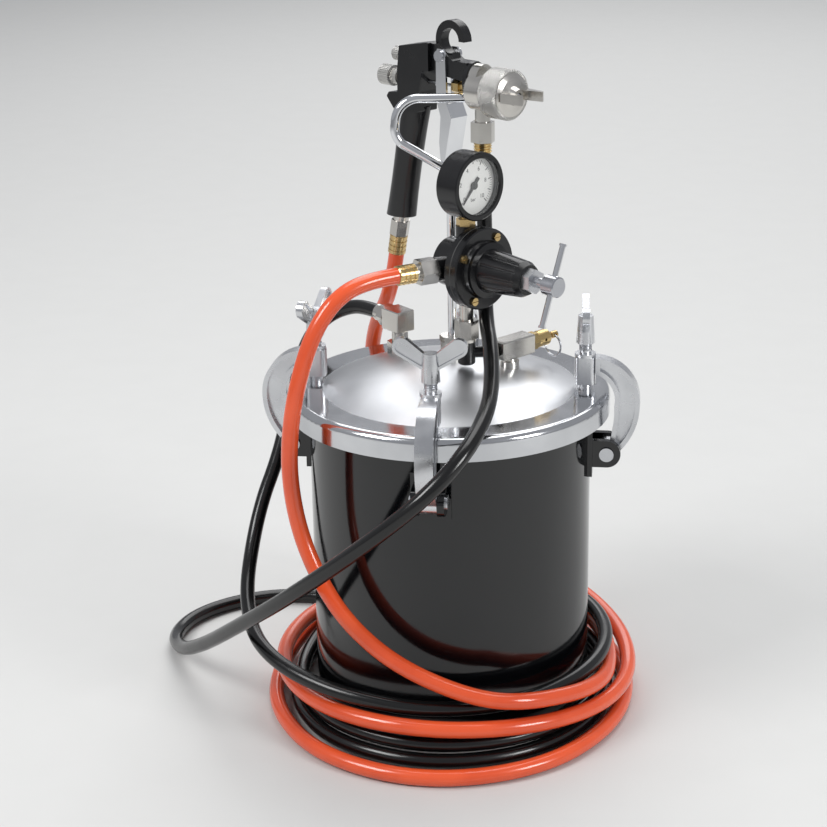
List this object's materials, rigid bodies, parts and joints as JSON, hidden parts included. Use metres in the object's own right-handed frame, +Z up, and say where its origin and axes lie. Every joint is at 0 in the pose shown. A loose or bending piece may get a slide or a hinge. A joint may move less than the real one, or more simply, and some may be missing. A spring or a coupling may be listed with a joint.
{
  "type": "resin pressure pot",
  "caption": "Pressure-feed pot with a clamped domed lid, air regulator with gauge, relief valve, hanging spray gun and coiled air and fluid hoses.",
  "frame": {"origin": "centre of the tank's base, where its axis meets the floor", "axes": "+Z up along the tank's axis; the front clamp is on -Y and the right clamp on +X"},
  "size_m": [0.4456, 0.4237, 0.595],
  "materials": {
    "black_enamel": "glossy enamel",
    "lid_steel": "satin dome with a polished rim",
    "cast_aluminium": "bright cast",
    "zinc_steel": "zinc plated",
    "chrome": "polished chrome",
    "nickel": "nickel plated",
    "brass": "machined",
    "black_casting": "semi-gloss black",
    "black_rubber": "glossy rubber",
    "seal_rubber": "matt",
    "orange_pvc": "glossy soft PVC",
    "dial_white": "printed dial",
    "needle_black": "matt",
    "lens_glass": "clear"
  },
  "bodies": {
    "tank": {"tank_shell": "black_enamel", "lid": "lid_steel", "lid_gasket": "seal_rubber", "clamp_brackets": "black_enamel", "clamp_pins": "zinc_steel", "hanger_stud": "nickel", "hanger_rod": "chrome", "outlet_boss": "nickel", "outlet_elbow": "nickel", "outlet_nut": "nickel", "dip_tube": "zinc_steel", "inlet_foot": "nickel", "inlet_block": "nickel", "inlet_tee": "black_casting", "safety_body": "brass", "union_nut": "nickel", "regulator_body": "black_casting", "diaphragm": "seal_rubber", "regulator_bonnet": "black_casting", "bonnet_screws": "brass", "lock_nut": "zinc_steel", "air_outlet_nut": "nickel", "gauge_stem": "brass", "gauge_case": "black_casting", "gauge_lens": "lens_glass", "gauge_dial": "dial_white", "gun_body": "black_casting", "gun_head": "nickel", "packing_nut": "brass", "fluid_tip": "zinc_steel", "trigger_pivot": "zinc_steel", "gun_air_nut": "nickel", "gun_fluid_nut": "nickel", "hose_ferrules": "brass", "air_hose": "orange_pvc", "fluid_hose": "black_rubber"},
    "safety_stem": {"safety_stem": "brass"},
    "safety_ring": {"safety_ring": "zinc_steel"},
    "spring_button": {"spring_button": "zinc_steel"},
    "adjusting_screw": {"adjusting_screw": "zinc_steel"},
    "tee_bar": {"tee_bar": "chrome"},
    "gauge_needle": {"gauge_needle": "needle_black"},
    "fluid_needle": {"fluid_needle": "zinc_steel"},
    "trigger": {"trigger": "chrome"},
    "fluid_knob": {"fluid_knob": "nickel"},
    "pattern_knob": {"pattern_knob": "nickel"},
    "air_cap": {"air_cap": "nickel"},
    "cap_ring": {"cap_ring": "nickel"},
    "clamp_front": {"clamp_arm_front": "cast_aluminium"},
    "pad_front": {"clamp_pad_front": "zinc_steel"},
    "screw_front": {"clamp_screw_front": "cast_aluminium"},
    "clamp_right": {"clamp_arm_right": "cast_aluminium"},
    "pad_right": {"clamp_pad_right": "zinc_steel"},
    "screw_right": {"clamp_screw_right": "cast_aluminium"},
    "clamp_back": {"clamp_arm_back": "cast_aluminium"},
    "pad_back": {"clamp_pad_back": "zinc_steel"},
    "screw_back": {"clamp_screw_back": "cast_aluminium"},
    "clamp_left": {"clamp_arm_left": "cast_aluminium"},
    "pad_left": {"clamp_pad_left": "zinc_steel"},
    "screw_left": {"clamp_screw_left": "cast_aluminium"}
  },
  "joints": [
    {"name": "clamp_front_swing", "type": "hinge", "parent": "tank", "child": "clamp_front", "pos_m": [0, -0.137, 0.233], "axis": [1, 0, 0], "range_deg": [0, 50]},
    {"name": "pad_front_lift", "type": "slide", "parent": "clamp_front", "child": "pad_front", "axis": [0, 0, 1], "range_m": [0, 0.006]},
    {"name": "screw_front_turn", "type": "hinge", "parent": "pad_front", "child": "screw_front", "pos_m": [0, -0.117, 0.33], "axis": [0, 0, 1], "range_deg": [0, 1441]},
    {"name": "clamp_right_swing", "type": "hinge", "parent": "tank", "child": "clamp_right", "pos_m": [0.137, 0, 0.233], "axis": [0, 1, 0], "range_deg": [0, 95]},
    {"name": "pad_right_lift", "type": "slide", "parent": "clamp_right", "child": "pad_right", "axis": [0, 0, 1], "range_m": [0, 0.006]},
    {"name": "screw_right_turn", "type": "hinge", "parent": "pad_right", "child": "screw_right", "pos_m": [0.117, 0, 0.33], "axis": [0, 0, 1], "range_deg": [0, 1441]},
    {"name": "clamp_back_swing", "type": "hinge", "parent": "tank", "child": "clamp_back", "pos_m": [0, 0.137, 0.233], "axis": [-1, 0, 0], "range_deg": [0, 95]},
    {"name": "pad_back_lift", "type": "slide", "parent": "clamp_back", "child": "pad_back", "axis": [0, 0, 1], "range_m": [0, 0.006]},
    {"name": "screw_back_turn", "type": "hinge", "parent": "pad_back", "child": "screw_back", "pos_m": [0, 0.117, 0.33], "axis": [0, 0, 1], "range_deg": [0, 1441]},
    {"name": "clamp_left_swing", "type": "hinge", "parent": "tank", "child": "clamp_left", "pos_m": [-0.137, 0, 0.233], "axis": [0, -1, 0], "range_deg": [0, 95]},
    {"name": "pad_left_lift", "type": "slide", "parent": "clamp_left", "child": "pad_left", "axis": [0, 0, 1], "range_m": [0, 0.006]},
    {"name": "screw_left_turn", "type": "hinge", "parent": "pad_left", "child": "screw_left", "pos_m": [-0.117, 0, 0.33], "axis": [0, 0, 1], "range_deg": [0, 1441]},
    {"name": "spring_button_slide", "type": "slide", "parent": "tank", "child": "spring_button", "axis": [-0.788, 0.6157, 0], "range_m": [0, 0.006]},
    {"name": "adjusting_screw_turn", "type": "hinge", "parent": "spring_button", "child": "adjusting_screw", "pos_m": [0.017, -0.015, 0.399], "axis": [-0.788, 0.6157, 0], "range_deg": [0, 1729]},
    {"name": "tee_bar_slide", "type": "slide", "parent": "adjusting_screw", "child": "tee_bar", "axis": [0.2206, 0.2824, 0.9336], "range_m": [-0.022, 0.022]},
    {"name": "gauge_needle_turn", "type": "hinge", "parent": "tank", "child": "gauge_needle", "pos_m": [0.017, -0.015, 0.4678], "axis": [-0.788, 0.6157, 0], "range_deg": [0, 265]},
    {"name": "safety_stem_pull", "type": "slide", "parent": "tank", "child": "safety_stem", "axis": [0.6428, 0.766, 0], "range_m": [0, 0.002], "stiffness_N_per_m": 400},
    {"name": "safety_ring_swing", "type": "hinge", "parent": "safety_stem", "child": "safety_ring", "pos_m": [0.08607, 0.0426, 0.322], "axis": [0.766, -0.6428, 0], "range_deg": [0, 80]},
    {"name": "trigger_pull", "type": "hinge", "parent": "tank", "child": "trigger", "pos_m": [-0.00381, 0.0412, 0.565], "axis": [0.6293, 0.7771, 0], "range_deg": [0, 12], "stiffness_Nm_per_rad": 0.6},
    {"name": "fluid_needle_draw", "type": "slide", "parent": "tank", "child": "fluid_needle", "axis": [-0.7771, 0.6293, 0], "range_m": [0, 0.00525]},
    {"name": "fluid_knob_turn", "type": "hinge", "parent": "tank", "child": "fluid_knob", "pos_m": [-0.06054, 0.08714, 0.54], "axis": [0.7771, -0.6293, 0], "continuous": true},
    {"name": "pattern_knob_turn", "type": "hinge", "parent": "tank", "child": "pattern_knob", "pos_m": [-0.04966, 0.07833, 0.56], "axis": [0.7771, -0.6293, 0], "continuous": true},
    {"name": "air_cap_turn", "type": "hinge", "parent": "tank", "child": "air_cap", "pos_m": [0.05603, -0.00726, 0.54], "axis": [0.7771, -0.6293, 0], "continuous": true},
    {"name": "cap_ring_turn", "type": "hinge", "parent": "tank", "child": "cap_ring", "pos_m": [0.0467, 0.00029, 0.54], "axis": [0.7771, -0.6293, 0], "continuous": true}
  ],
  "couplings": [
    {"joint": "screw_front_turn", "follows": "pad_front_lift", "rad_per_m": 4188.8},
    {"joint": "screw_right_turn", "follows": "pad_right_lift", "rad_per_m": 4188.8},
    {"joint": "screw_back_turn", "follows": "pad_back_lift", "rad_per_m": 4188.8},
    {"joint": "screw_left_turn", "follows": "pad_left_lift", "rad_per_m": 4188.8},
    {"joint": "adjusting_screw_turn", "follows": "spring_button_slide", "rad_per_m": 5026.5},
    {"joint": "fluid_needle_draw", "follows": "trigger_pull", "m_per_rad": 0.025}
  ]
}
